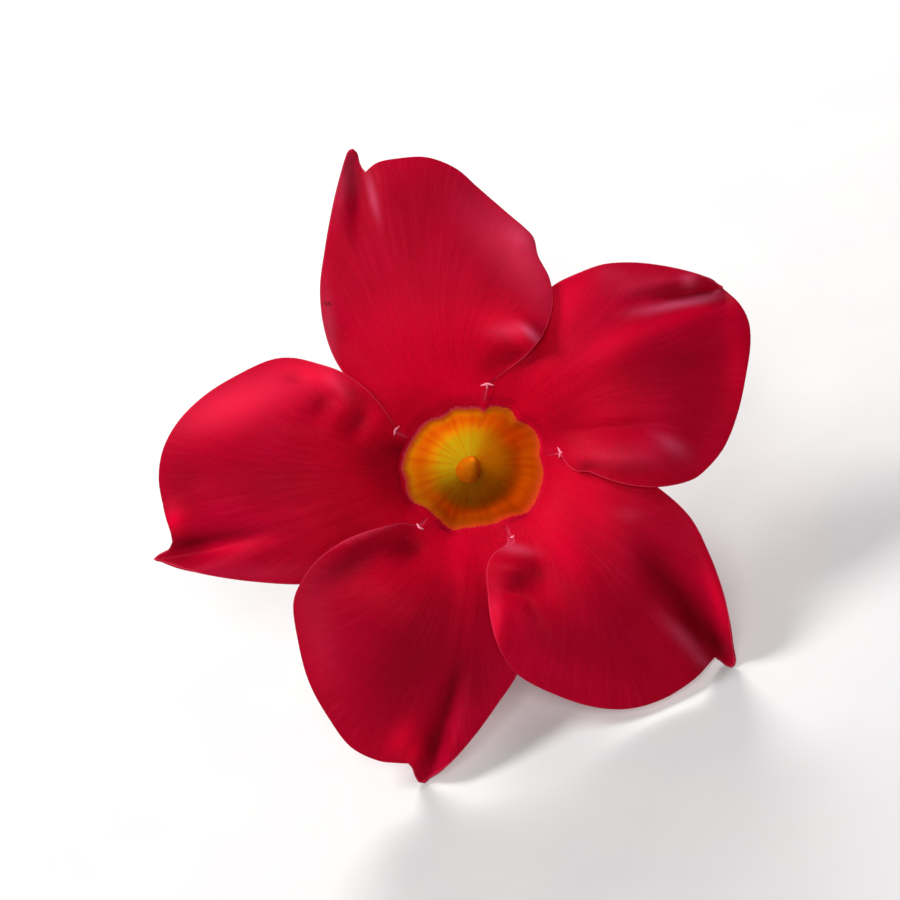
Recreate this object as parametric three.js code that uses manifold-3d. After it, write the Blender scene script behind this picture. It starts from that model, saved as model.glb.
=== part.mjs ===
// A mandevilla blossom as picked, lying on a table on two petal tips and the end of its stalk.
// Millimetres, +Z up, origin under the middle of the blossom on the table.
//
// The blossom is built in its own frame and then tipped over as one group. In that frame the throat's
// mouth is the origin, +Z runs out of the throat, +Y is up the face and petal_1 stands at the top.
// Seen from +Z, the petals follow each other clockwise, and each lays its clockwise margin over the next.
import * as THREE from "three";
import { mergeVertices } from "three/addons/utils/BufferGeometryUtils.js";
import Module from "manifold-3d";

const wasm = await Module();
wasm.setup();

// --- how it lies --------------------------------------------------------------------------------
const FACE_TILT = 33.21; // degrees that the throat's axis rises above the table
const FACE_ROLL = 20.47; // degrees that the face turns about the throat's axis to stand on two tips

// --- corolla ------------------------------------------------------------------------------------
const PETAL_WALL = 0.45;
const TUBE_WALL = 0.5;
const GAP = 0.3; // between neighbouring solids
const SECTOR = THREE.MathUtils.degToRad(36); // half of a petal's share of the circle

const LIMB = {
  base: 8.5, // radius where the petals leave the throat
  rise: 5.2, // how far the face stands out in front of the mouth
  bend: 4.2, // how soon the trumpet turns flat
  recurveFrom: 17, // radius past which the petals fall back
  recurve: 0.0085,
};
const PITCH = { base: 0.5, free: 1.05, from: 10, to: 18 }; // the petals stand like propeller blades
const ARCH = { height: 1.6, centre: 0.4, from: 9, to: 28 }; // each petal is a low vault across its width
const SHOULDER = { away: 3.2, width: 2.2 }; // the high side of the crease that runs to a tip

// Each outline runs from one sinus (where two petals part) up the covered margin to the pointed tip,
// and from the tip round the free margin to the next sinus.
const PETALS = [
  {
    name: "petal_1",
    toTip: [[-9.2, 4.2], [-13, 7.6], [-16.3, 12.3], [-18.2, 21], [-16.7, 31], [-15.5, 35.2], [-14.5, 38]],
    fromTip: [[-14.5, 38], [-13.1, 35.6], [-11.2, 36.4], [-5.5, 36.9], [0.5, 33.3], [6.9, 27.8], [9.3, 21],
      [7.4, 14.8], [4.6, 11.6], [1.7, 9.7]],
    crease: { start: [-12, 23], depth: 2.0, width: 1.5, shoulder: 1.2 },
  },
  {
    name: "petal_2",
    toTip: [[1.7, 9.7], [4.6, 14], [7.6, 19.4], [12, 23.2], [19, 24.3], [25, 23.2], [29.9, 21.6]],
    fromTip: [[29.9, 21.6], [31.8, 19.5], [33, 15.5], [32.4, 11], [30.3, 4], [26.2, -1.3], [22.2, -2.3],
      [16.5, -1.6], [12.4, -0.1], [10.4, 1.8]],
    crease: { start: [15, 16.5], depth: 2.2, width: 1.6, shoulder: 1.8 },
  },
  {
    name: "petal_3",
    toTip: [[10.4, 1.8], [16.4, 0.9], [21.6, -2.2], [26.2, -6.6], [29.3, -14], [31, -21], [31.3, -23.8]],
    fromTip: [[31.3, -23.8], [29.3, -22.9], [26, -25.7], [18.5, -28.9], [11.5, -27.9], [5.2, -24.6],
      [2.4, -19.5], [1.6, -13.2], [2.8, -10.1], [4.6, -8.4]],
    crease: { start: [17.5, -8], depth: 2.0, width: 1.6, shoulder: 1.4 },
  },
  {
    name: "petal_4",
    toTip: [[4.6, -8.4], [6.4, -13.6], [6.6, -19.6], [4.6, -25.4], [0, -32], [-3.4, -35.6], [-6.5, -37.9]],
    fromTip: [[-6.5, -37.9], [-7.7, -35.3], [-11.2, -35], [-15.8, -32.2], [-19.7, -25], [-21.3, -16.5],
      [-19.6, -12.1], [-15.3, -8.7], [-10, -6.7], [-6.4, -7.2]],
    crease: { start: [-2.2, -18.5], depth: 2.0, width: 1.5, shoulder: 1.2 },
  },
  {
    name: "petal_5",
    toTip: [[-6.4, -7.2], [-10.4, -10.6], [-15.6, -13.2], [-22, -13.9], [-30, -13.1], [-35, -12.2], [-38.5, -11.2]],
    fromTip: [[-38.5, -11.2], [-35.9, -8.6], [-37.2, -2.6], [-35.6, 4.7], [-30.4, 9.7], [-22.4, 13], [-16.6, 12],
      [-12.4, 9], [-10.2, 6.6], [-9.2, 4.2]],
    crease: { start: [-20.5, -7], depth: 2.0, width: 1.5, shoulder: 1.2 },
  },
];

// The inside of the throat and tube as [height, radius], from the mouth down to the calyx.
const THROAT = [[0, 7.7], [-2.5, 6.8], [-6, 5.8], [-11, 4.7], [-16, 3.7], [-20, 3.0], [-24, 2.2], [-28, 1.8],
  [-41.7, 1.7]];

// --- stamens, pistil, calyx and stalk -----------------------------------------------------------
const FIVE = 5;
const ANTHER = { length: 7.2, radius: 0.58, base: -22.4, lean: 9, out: 1.5 };
const FILAMENT = { radius: 0.22, above: 1.4, wallRadius: 2.95 }; // where it leaves the tube's wall
const SEPAL = { length: 8.5, halfWidth: 1.25, wall: 0.4, base: -41.6, inside: 2.6, spread: 1.5 };
const PEDICEL = { top: -42.0, radius: 0.95, length: 9.6, bow: 0.012 };

const red = new THREE.MeshStandardMaterial({ color: 0xb3001f, roughness: 0.6, metalness: 0 });
const orange = new THREE.MeshStandardMaterial({ color: 0xe07a10, roughness: 0.55, metalness: 0 });
const yellow = new THREE.MeshStandardMaterial({ color: 0xe08a2a, roughness: 0.6, metalness: 0 });
const cream = new THREE.MeshStandardMaterial({ color: 0xd9dba0, roughness: 0.6, metalness: 0 });
const green = new THREE.MeshStandardMaterial({ color: 0x5d7f32, roughness: 0.6, metalness: 0 });

// --- helpers ------------------------------------------------------------------------------------
const vector = ([x, y]) => new THREE.Vector3(x, y, 0);
const smoothstep = (from, to, x) => THREE.MathUtils.smoothstep(x, from, to);

// A closed mesh from a grid of points on its outer face and the matching grid on its inner face.
function sheetSolid(outer, inner) {
  const rows = outer.length;
  const columns = outer[0].length;
  const positions = [];
  for (const grid of [outer, inner]) {
    for (const row of grid) {
      for (const p of row) positions.push(p.x, p.y, p.z);
    }
  }
  const at = (side, row, column) => (side * rows + row) * columns + column;
  const faces = [];
  const quad = (a, b, c, d) => faces.push(a, b, c, a, c, d);
  for (let r = 0; r + 1 < rows; r++) {
    for (let c = 0; c + 1 < columns; c++) {
      quad(at(0, r, c), at(0, r, c + 1), at(0, r + 1, c + 1), at(0, r + 1, c));
      quad(at(1, r, c), at(1, r + 1, c), at(1, r + 1, c + 1), at(1, r, c + 1));
    }
    quad(at(0, r, 0), at(0, r + 1, 0), at(1, r + 1, 0), at(1, r, 0));
    quad(at(0, r, columns - 1), at(1, r, columns - 1), at(1, r + 1, columns - 1), at(0, r + 1, columns - 1));
  }
  for (let c = 0; c + 1 < columns; c++) {
    quad(at(0, 0, c), at(1, 0, c), at(1, 0, c + 1), at(0, 0, c + 1));
    quad(at(0, rows - 1, c), at(0, rows - 1, c + 1), at(1, rows - 1, c + 1), at(1, rows - 1, c));
  }
  const geometry = new THREE.BufferGeometry();
  geometry.setAttribute("position", new THREE.Float32BufferAttribute(positions, 3));
  geometry.setIndex(faces);
  return geometry;
}

// A body of revolution about the blossom's +Z axis, from [height, radius] points.
function turned(profile, segments) {
  const points = profile.map(([height, radius]) => new THREE.Vector2(radius, height));
  return new THREE.LatheGeometry(points, segments).rotateX(Math.PI / 2);
}

function solidOf(geometry) {
  const bare = new THREE.BufferGeometry().setAttribute("position", geometry.getAttribute("position"));
  if (geometry.index) bare.setIndex(geometry.index);
  const merged = mergeVertices(bare, 1e-4);
  return new wasm.Manifold(new wasm.Mesh({
    numProp: 3,
    vertProperties: new Float32Array(merged.attributes.position.array),
    triVerts: new Uint32Array(merged.index.array),
  }));
}

function geometryOf(solid) {
  const mesh = solid.getMesh();
  const geometry = new THREE.BufferGeometry();
  geometry.setAttribute("position", new THREE.BufferAttribute(mesh.vertProperties, 3));
  geometry.setIndex(new THREE.BufferAttribute(mesh.triVerts, 1));
  return geometry;
}

function named(name, geometry, material) {
  const mesh = new THREE.Mesh(geometry, material);
  mesh.name = name;
  return mesh;
}

// --- petals -------------------------------------------------------------------------------------
const FULL_TURN = 2 * Math.PI;
const angleOf = ([x, y]) => Math.atan2(y, x);

// The petal's first and last direction from the throat, falling clockwise.
function sectorOf(petal) {
  const first = angleOf(petal.toTip[0]);
  let last = angleOf(petal.fromTip.at(-1));
  if (last > first) last -= FULL_TURN;
  return { first, last, middle: (first + last) / 2 };
}

// How far clockwise of the petal's middle a point lies: -1 and 1 are the two sinuses.
function clockwiseShare(petal, x, y) {
  let away = sectorOf(petal).middle - Math.atan2(y, x);
  away -= FULL_TURN * Math.round(away / FULL_TURN);
  return away / SECTOR;
}

// The crease that runs out to the tip: a narrow valley with a shoulder on its clockwise side.
function creaseHeight(petal, x, y) {
  const { start, depth, width, shoulder } = petal.crease;
  const tip = petal.fromTip[0];
  const length = Math.hypot(tip[0] - start[0], tip[1] - start[1]);
  const along = [(tip[0] - start[0]) / length, (tip[1] - start[1]) / length];
  const dx = x - start[0];
  const dy = y - start[1];
  const out = (dx * along[0] + dy * along[1]) / length;
  const clockwise = dx * along[1] - dy * along[0];
  const valley = depth * Math.exp(-((clockwise / width) ** 2));
  const ridge = shoulder * Math.exp(-(((clockwise - SHOULDER.away) / SHOULDER.width) ** 2));
  return smoothstep(0, 1, out) * (ridge - valley);
}

function petalHeight(petal, x, y) {
  const radius = Math.hypot(x, y);
  const share = clockwiseShare(petal, x, y);
  const past = Math.max(0, radius - LIMB.recurveFrom);
  const limb = LIMB.rise * (1 - Math.exp(-(radius - LIMB.base) / LIMB.bend)) - LIMB.recurve * past ** 2;
  const pitch = PITCH.base + (PITCH.free - PITCH.base) * smoothstep(PITCH.from, PITCH.to, radius);
  const arch = ARCH.height * smoothstep(ARCH.from, ARCH.to, radius) * (share - ARCH.centre) ** 2;
  return limb + pitch * share - arch + creaseHeight(petal, x, y);
}

// The petal's surface point over (x, y), moved by half the wall along the surface normal.
function petalPoint(petal, x, y, side) {
  const step = 0.01;
  const z = petalHeight(petal, x, y);
  const slopeX = (petalHeight(petal, x + step, y) - z) / step;
  const slopeY = (petalHeight(petal, x, y + step) - z) / step;
  const normal = new THREE.Vector3(-slopeX, -slopeY, 1).normalize();
  return new THREE.Vector3(x, y, z).addScaledVector(normal, (side * PETAL_WALL) / 2);
}

// Columns fan out from the throat to the outline, and rows run across them.
function petalGeometry(petal) {
  const columnsToTip = 10;
  const columnsFromTip = 16;
  const ringRows = 1;
  const lobeRows = 7;
  const sinusRadius = 10;
  const clear = 0.012; // of an outline: keeps the first columns from shrinking to a point
  const seam = GAP / 2 / LIMB.base; // radians left free beside each neighbour
  const { first, last } = sectorOf(petal);
  const toTip = new THREE.CatmullRomCurve3(petal.toTip.map(vector), false, "centripetal");
  const fromTip = new THREE.CatmullRomCurve3(petal.fromTip.map(vector), false, "centripetal");

  const columns = [];
  for (let c = 0; c <= columnsToTip; c++) {
    const s = clear + (1 - clear) * (c / columnsToTip);
    columns.push({ end: toTip.getPointAt(s), share: (0.5 * c) / columnsToTip });
  }
  for (let c = 1; c <= columnsFromTip; c++) {
    const s = (1 - clear) * (c / columnsFromTip);
    columns.push({ end: fromTip.getPointAt(s), share: 0.5 + (0.5 * c) / columnsFromTip });
  }

  const outline = (row) => columns.map(({ end, share }) => {
    const angle = first - seam + (last - first + 2 * seam) * share;
    const ray = new THREE.Vector3(Math.cos(angle), Math.sin(angle), 0);
    if (row < ringRows) return ray.multiplyScalar(LIMB.base + ((sinusRadius - LIMB.base) * row) / ringRows);
    const t = (row - ringRows) / lobeRows;
    const from = ray.clone().multiplyScalar(sinusRadius);
    const bend = from.clone().addScaledVector(ray, 0.3 * from.distanceTo(end));
    return new THREE.QuadraticBezierCurve3(from, bend, end).getPoint(t);
  });
  const rows = Array.from({ length: ringRows + lobeRows + 1 }, (_, row) => outline(row));
  const face = (side) => rows.map((row) => row.map(({ x, y }) => petalPoint(petal, x, y, side)));
  return sheetSolid(face(1), face(-1));
}

// --- corolla tube -------------------------------------------------------------------------------
function tubeGeometry() {
  const outside = THROAT.map(([height, radius]) => [height, radius + TUBE_WALL]).reverse();
  const profile = [...THROAT, ...outside, THROAT[0]];
  return turned(profile, 30);
}

// --- stamens: an anther that leans on its neighbours, and a filament to the tube's wall ----------
function stamenGeometry() {
  const { length, radius } = ANTHER;
  const anther = turned([[0, 0], [0.3, 0.7 * radius], [0.22 * length, radius], [0.55 * length, 0.75 * radius],
    [0.85 * length, 0.3 * radius], [length, 0]], 10);
  anther.rotateY(-THREE.MathUtils.degToRad(ANTHER.lean)).translate(ANTHER.out, 0, ANTHER.base);
  const reach = FILAMENT.wallRadius - GAP - ANTHER.out;
  const filament = new THREE.CylinderGeometry(FILAMENT.radius, FILAMENT.radius, reach, 8);
  filament.rotateZ(Math.PI / 2).translate(ANTHER.out + reach / 2, 0, ANTHER.base + FILAMENT.above);
  return geometryOf(solidOf(anther).add(solidOf(filament)));
}

// --- pistil: the ovary in the foot of the tube, and the style up to a head between the anthers ----
const pistilProfile = [[-41.5, 0], [-41.5, 0.7], [-40.6, 1.05], [-39.2, 0.8], [-38.2, 0.3], [-23.2, 0.28],
  [-22.4, 0.36], [-21.0, 0.36], [-19.8, 0]];

// --- sepals -------------------------------------------------------------------------------------
function sepalGeometry() {
  const rows = 8;
  const columns = 4;
  const face = (wall) => Array.from({ length: rows + 1 }, (_, r) => {
    const t = r / rows;
    const width = SEPAL.halfWidth * (1 - t ** 1.6) + 0.08;
    const out = SEPAL.inside + wall * (1 - 0.5 * t) + SEPAL.spread * t ** 2;
    return Array.from({ length: columns + 1 }, (_, c) => {
      const across = width * ((2 * c) / columns - 1);
      const turn = across / SEPAL.inside;
      return new THREE.Vector3(out * Math.cos(turn), out * Math.sin(turn), SEPAL.base + SEPAL.length * t);
    });
  });
  return sheetSolid(face(SEPAL.wall), face(0));
}

// --- pedicel: the receptacle under the calyx and the cut stalk below it ---------------------------
function pedicelGeometry() {
  const { top, radius, length, bow } = PEDICEL;
  const geometry = turned([[top - length, 0], [top - length, radius], [top - 2.6, radius], [top - 1.2, 1.5],
    [top - 0.4, 2.1], [top, 2.1], [top, 0]], 14);
  const position = geometry.getAttribute("position");
  for (let i = 0; i < position.count; i++) {
    const below = Math.max(0, top - position.getZ(i));
    position.setY(i, position.getY(i) + bow * below ** 2);
  }
  return geometry;
}

// --- assembly -----------------------------------------------------------------------------------
const blossom = new THREE.Group();

for (const petal of PETALS) blossom.add(named(petal.name, petalGeometry(petal), red));
blossom.add(named("corolla_tube", tubeGeometry(), orange));

for (let i = 0; i < FIVE; i++) {
  const stamen = named(`stamen_${i + 1}`, stamenGeometry(), yellow);
  stamen.rotation.z = THREE.MathUtils.degToRad(90 - (360 / FIVE) * i);
  blossom.add(stamen);
}
blossom.add(named("pistil", turned(pistilProfile, 10), cream));

for (let i = 0; i < FIVE; i++) {
  const sepal = named(`sepal_${i + 1}`, sepalGeometry(), green);
  sepal.rotation.z = THREE.MathUtils.degToRad(54 - (360 / FIVE) * i);
  blossom.add(sepal);
}
blossom.add(named("pedicel", pedicelGeometry(), green));

blossom.rotation.z = THREE.MathUtils.degToRad(-FACE_ROLL);

const tipped = new THREE.Group();
tipped.rotation.x = THREE.MathUtils.degToRad(90 - FACE_TILT);
tipped.add(blossom);

const part = new THREE.Group();
part.add(tipped);
part.updateMatrixWorld(true);
const box = new THREE.Box3().setFromObject(part, true);
const middle = box.getCenter(new THREE.Vector3());
tipped.position.set(-middle.x, -middle.y, -box.min.z);

export default part;
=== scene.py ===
"""A red mandevilla blossom, picked and lying on its side on a pale surface.

The blossom is modelled in its own axes, in millimetres: the origin is the middle of the throat's mouth, x
and y lie across the face and z runs out of the throat. FLOWER turns those axes into the frame's.
"""
import math

import bpy
import numpy as np
from mathutils import Matrix, Vector


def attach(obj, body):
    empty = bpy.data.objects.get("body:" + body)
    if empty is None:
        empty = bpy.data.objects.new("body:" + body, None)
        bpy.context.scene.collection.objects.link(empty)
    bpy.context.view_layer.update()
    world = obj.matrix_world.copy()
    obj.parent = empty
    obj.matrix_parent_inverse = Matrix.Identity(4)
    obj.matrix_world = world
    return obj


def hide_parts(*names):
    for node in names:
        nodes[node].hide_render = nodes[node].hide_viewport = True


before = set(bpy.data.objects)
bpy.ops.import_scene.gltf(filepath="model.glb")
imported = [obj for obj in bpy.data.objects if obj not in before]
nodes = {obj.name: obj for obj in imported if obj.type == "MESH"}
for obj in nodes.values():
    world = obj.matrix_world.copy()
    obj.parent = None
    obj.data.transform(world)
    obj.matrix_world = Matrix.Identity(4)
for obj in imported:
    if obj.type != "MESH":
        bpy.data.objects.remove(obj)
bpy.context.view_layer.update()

# --- the blossom's own axes ---
MM = 0.001
FACE_TILT = math.radians(33.21)  # how far the throat's axis rises above the table
FACE_ROLL = math.radians(20.47)  # how far the face turns about that axis
FLOWER = np.array(Matrix.Rotation(math.pi / 2 - FACE_TILT, 3, "X") @ Matrix.Rotation(-FACE_ROLL, 3, "Z"))


def mouth_of(tube):
    """The middle of the throat's mouth, in metres: the end of the CAD tube that lies furthest out."""
    points = np.array([v.co for v in tube.data.vertices]) @ FLOWER
    low, high = points.min(axis=0), points.max(axis=0)
    return FLOWER @ np.array([(low[0] + high[0]) / 2, (low[1] + high[1]) / 2, high[2]])


MOUTH = mouth_of(nodes["corolla_tube"])


def to_row(points):
    """Blossom millimetres to the frame's metres."""
    return MOUTH + np.asarray(points) @ FLOWER.T * MM


# --- small mathematics ---
TINY = 1e-9
CHUNK = 4000  # points measured against a curve at a time, to keep the arrays small


def smoothstep(low, high, x):
    t = np.clip((x - low) / (high - low), 0, 1)
    return t * t * (3 - 2 * t)


def bell(distance, width):
    return np.exp(-((distance / width) ** 2))


def unit(vectors):
    """The same directions, each of length 1."""
    return vectors / np.maximum(np.linalg.norm(vectors, axis=-1, keepdims=True), TINY)


def round_angles(count):
    """Evenly spaced angles once round a circle."""
    return np.linspace(0, 2 * np.pi, count, endpoint=False)


def rounded(inset, reach):
    """A quarter-round edge: 0 at the margin, and 1 from `reach` inside it."""
    return np.sqrt(np.clip(1 - (1 - np.clip(inset / reach, 0, 1)) ** 2, 0, 1))


def between(a, b, t, at_a, at_b):
    """The point at t on the straight run that is a at at_a and b at at_b."""
    return (at_b - t) / (at_b - at_a) * a + (t - at_a) / (at_b - at_a) * b


def spline(points, steps=24):
    """A dense centripetal Catmull-Rom curve through the points."""
    p = np.array(points, float)
    p = np.vstack([2 * p[0] - p[1], p, 2 * p[-1] - p[-2]])
    knots = np.concatenate([[0], np.cumsum(np.sqrt(np.linalg.norm(np.diff(p, axis=0), axis=1)))])
    out = []
    for i in range(1, len(p) - 2):
        t = np.linspace(knots[i], knots[i + 1], steps, endpoint=False)[:, None]
        k = knots[i - 1:i + 3]
        level = p[i - 1:i + 3]
        for reach in (1, 2):
            level = [between(level[j], level[j + 1], t, k[j], k[j + reach]) for j in range(4 - reach)]
        out.append(between(level[0], level[1], t, k[1], k[2]))
    out.append(p[-2:-1])
    return np.vstack(out)


def along(curve, shares):
    """Points on a dense curve at the given shares of its length."""
    length = np.concatenate([[0], np.cumsum(np.linalg.norm(np.diff(curve, axis=0), axis=1))])
    at = np.asarray(shares) * length[-1]
    return np.stack([np.interp(at, length, curve[:, k]) for k in range(curve.shape[1])], axis=1)


def nearest(points, curve):
    """For each point: distance to the curve, share of the curve passed, and its side (1 = left of it)."""
    mid = (curve[:-1] + curve[1:]) / 2
    step = curve[1:] - curve[:-1]
    flat = points.reshape(-1, 2)
    distance, share, side = np.empty((3, len(flat)))
    for start in range(0, len(flat), CHUNK):
        some = slice(start, start + CHUNK)
        gap = flat[some][:, None, :] - mid[None]
        squared = (gap ** 2).sum(axis=2)
        best = squared.argmin(axis=1)
        rows = np.arange(len(best))
        d = gap[rows, best]
        s = step[best]
        length = np.linalg.norm(s, axis=1)
        distance[some] = np.sqrt(squared[rows, best])
        share[some] = (best + 0.5 + (s * d).sum(axis=1) / length ** 2) / len(mid)
        side[some] = np.sign(s[:, 0] * d[:, 1] - s[:, 1] * d[:, 0])
    shape = points.shape[:-1]
    return distance.reshape(shape), share.reshape(shape), side.reshape(shape)


def patches(plan, marks):
    """The sum of soft ovals over a plan, each (x, y, size, length, width, direction in degrees)."""
    total = np.zeros(plan.shape[:-1])
    for x, y, size, length, width, direction in marks:
        turn = math.radians(direction)
        dx, dy = plan[..., 0] - x, plan[..., 1] - y
        u = dx * math.cos(turn) + dy * math.sin(turn)
        v = dy * math.cos(turn) - dx * math.sin(turn)
        total += size * np.exp(-((u / length) ** 2) - (v / width) ** 2)
    return total


def ripple(x, seed):
    """Smooth one-dimensional noise between about -1 and 1."""
    draw = np.random.default_rng(seed)
    total = 0
    for k in range(1, 6):
        total = total + draw.normal() * np.sin(x * k * 0.7 + draw.uniform(0, 2 * np.pi)) / k
    return total / 1.6


# --- meshes ---
def make_piece(name, points, faces, material, stands_for, uv=None, values=None):
    """A smooth mesh object in the frame, riding on the blossom's one body."""
    mesh = bpy.data.meshes.new(name)
    mesh.from_pydata(to_row(points).tolist(), [], [tuple(f) for f in faces])
    mesh.update()
    mesh.polygons.foreach_set("use_smooth", [True] * len(mesh.polygons))
    place = mesh.attributes.new("flower", "FLOAT_VECTOR", "POINT")
    place.data.foreach_set("vector", np.asarray(points, dtype=np.float32).ravel())
    for key, value in (values or {}).items():
        layer = mesh.attributes.new(key, "FLOAT", "POINT")
        layer.data.foreach_set("value", np.asarray(value, dtype=np.float32).ravel())
    if uv is not None:
        loops = np.empty(len(mesh.loops), dtype=np.int32)
        mesh.loops.foreach_get("vertex_index", loops)
        layer = mesh.uv_layers.new(name="Veins")
        layer.data.foreach_set("uv", np.asarray(uv, dtype=np.float32)[loops].ravel())
    mesh.materials.append(material)
    piece = bpy.data.objects.new(name, mesh)
    bpy.context.scene.collection.objects.link(piece)
    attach(piece, "root")
    if stands_for:
        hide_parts(*stands_for)


def grid_normals(grid):
    """Unit normals of a (rows, columns, 3) grid; columns x rows is the outward side."""
    return unit(np.cross(np.gradient(grid, axis=1), np.gradient(grid, axis=0)))


def leaf_mesh(middle, half):
    """A closed thin leaf: a front and a back grid that share their border.

    Returns the points, the faces and a mask of the grid's inner points. The points are the front's whole
    grid and then the back's inner points.
    """
    rows, columns = middle.shape[:2]
    inner = np.zeros((rows, columns), bool)
    inner[1:-1, 1:-1] = True
    offset = grid_normals(middle) * half[..., None]
    front = np.where(inner[..., None], middle + offset, middle)
    points = np.vstack([front.reshape(-1, 3), (middle - offset)[inner]])
    front_index = np.arange(rows * columns).reshape(rows, columns)
    back_index = front_index.copy()
    back_index[inner] = rows * columns + np.arange(inner.sum())
    faces = []
    for index, flip in ((front_index, False), (back_index, True)):
        corners = [index[:-1, :-1], index[:-1, 1:], index[1:, 1:], index[1:, :-1]]
        quads = np.stack(corners, axis=-1).reshape(-1, 4)
        faces.append(quads[:, ::-1] if flip else quads)
    return points, np.vstack(faces), inner


def both_sides(value, inner):
    """A value on a leaf's grid, laid out like the points of its mesh."""
    return np.concatenate([value.reshape(inner.size, -1), value[inner].reshape(inner.sum(), -1)])


def loft_mesh(rings):
    """A closed body through rings of points, each end closed by a fan."""
    count, around = rings.shape[:2]
    points = np.vstack([rings.reshape(-1, 3), rings[0].mean(axis=0), rings[-1].mean(axis=0)])
    first, last = count * around, count * around + 1
    faces = []
    for r in range(count - 1):
        for c in range(around):
            d = (c + 1) % around
            faces.append((r * around + c, r * around + d, (r + 1) * around + d, (r + 1) * around + c))
    for c in range(around):
        d = (c + 1) % around
        faces.append((first, d, c))
        faces.append((last, (count - 1) * around + c, (count - 1) * around + d))
    return points, faces


def join(bodies):
    """The points and faces of several bodies as one mesh."""
    points, faces = [], []
    for more, more_faces in bodies:
        offset = sum(len(p) for p in points)
        points.append(more)
        faces += [tuple(i + offset for i in face) for face in more_faces]
    return np.vstack(points), faces


# --- materials ---
class Tree:
    """A short way to write shader nodes."""

    def __init__(self, name):
        self.material = bpy.data.materials.new(name)
        self.material.use_nodes = True
        self.nodes = self.material.node_tree.nodes
        self.links = self.material.node_tree.links
        self.nodes.clear()

    def plug(self, socket, value):
        if isinstance(value, bpy.types.NodeSocket):
            self.links.new(value, socket)
        else:
            socket.default_value = value

    def add(self, kind, settings=None, **inputs):
        node = self.nodes.new(kind)
        for key, value in (settings or {}).items():
            setattr(node, key, value)
        for key, value in inputs.items():
            self.plug(node.inputs[key.replace("_", " ")], value)
        return node

    def math(self, operation, a, b):
        node = self.nodes.new("ShaderNodeMath")
        node.operation = operation
        self.plug(node.inputs[0], a)
        self.plug(node.inputs[1], b)
        return node.outputs[0]

    def times(self, a, b):
        return self.math("MULTIPLY", a, b)

    def ramp(self, value, low, high, out_low=0.0, out_high=1.0):
        node = self.nodes.new("ShaderNodeMapRange")
        node.interpolation_type = "SMOOTHSTEP"
        for socket, given in zip(node.inputs, (value, low, high, out_low, out_high)):
            self.plug(socket, given)
        return node.outputs[0]

    def mix(self, factor, a, b):
        node = self.nodes.new("ShaderNodeMix")
        node.data_type = "RGBA"
        self.plug(node.inputs[0], factor)
        self.plug(node.inputs[6], a)
        self.plug(node.inputs[7], b)
        return node.outputs[2]

    def over(self, colour, tint, value, low, high, most=1.0):
        """Lays a tint over a colour, from none where the value is low to `most` where it is high."""
        return self.mix(self.ramp(value, low, high, 0.0, most), colour, tint)

    def value(self, name):
        return self.add("ShaderNodeAttribute", {"attribute_name": name}).outputs["Fac"]

    def vector(self, name):
        return self.add("ShaderNodeAttribute", {"attribute_name": name}).outputs["Vector"]

    def veins(self, scale, detail, roughness=0.5):
        """Noise that is stretched along the veins."""
        uv = self.add("ShaderNodeUVMap", {"uv_map": "Veins"}).outputs[0]
        return self.noise(self.stretched(uv, scale), 1.0, detail, roughness)

    def stretched(self, vector, scale):
        node = self.add("ShaderNodeMapping")
        self.plug(node.inputs["Vector"], vector)
        node.inputs["Scale"].default_value = scale
        return node.outputs[0]

    def noise(self, vector, scale, detail, roughness=0.5):
        node = self.add("ShaderNodeTexNoise", Vector=vector, Scale=scale, Detail=detail, Roughness=roughness)
        return node.outputs["Fac"]

    def bump(self, height, strength, distance):
        return self.add("ShaderNodeBump", Strength=strength, Distance=distance, Height=height).outputs[0]

    def finish(self, shader):
        out = self.nodes.new("ShaderNodeOutputMaterial")
        self.links.new(shader, out.inputs["Surface"])
        return self.material


def rgb(red, green, blue):
    """A colour given as screen values from 0 to 255."""
    def linear(v):
        v /= 255
        return v / 12.92 if v <= 0.04045 else ((v + 0.055) / 1.055) ** 2.4
    return (linear(red), linear(green), linear(blue), 1.0)


PETAL_BASE = rgb(194, 0, 36)
PETAL_THROUGH = 0.28  # the share of light that passes through a petal
THROAT_THROUGH = 0.6  # and through the throat's wall
PETAL_SHEEN = 0.03
SHEEN_TINT = (1.0, 0.2, 0.6, 1)
SOFT_SPECULAR = 0.4
DEEP_BUMP, SHALLOW_BUMP = 0.0002, 0.0001  # metres


def plant_shader(tree, colour, glow, normal, roughness, share, specular=SOFT_SPECULAR, sheen=0.0):
    """Plant tissue: a soft surface, and a share of light that comes through from behind."""
    surface = tree.add("ShaderNodeBsdfPrincipled", Base_Color=colour, Roughness=roughness, Normal=normal)
    surface.inputs["Specular IOR Level"].default_value = specular
    surface.inputs["Sheen Weight"].default_value = sheen
    surface.inputs["Sheen Roughness"].default_value = 0.45
    surface.inputs["Sheen Tint"].default_value = SHEEN_TINT if sheen else (1, 1, 1, 1)
    through = tree.add("ShaderNodeBsdfTranslucent", Color=glow, Normal=normal)
    both = tree.nodes.new("ShaderNodeMixShader")
    tree.plug(both.inputs[0], share)
    tree.links.new(surface.outputs[0], both.inputs[1])
    tree.links.new(through.outputs[0], both.inputs[2])
    return both.outputs[0]


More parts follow.
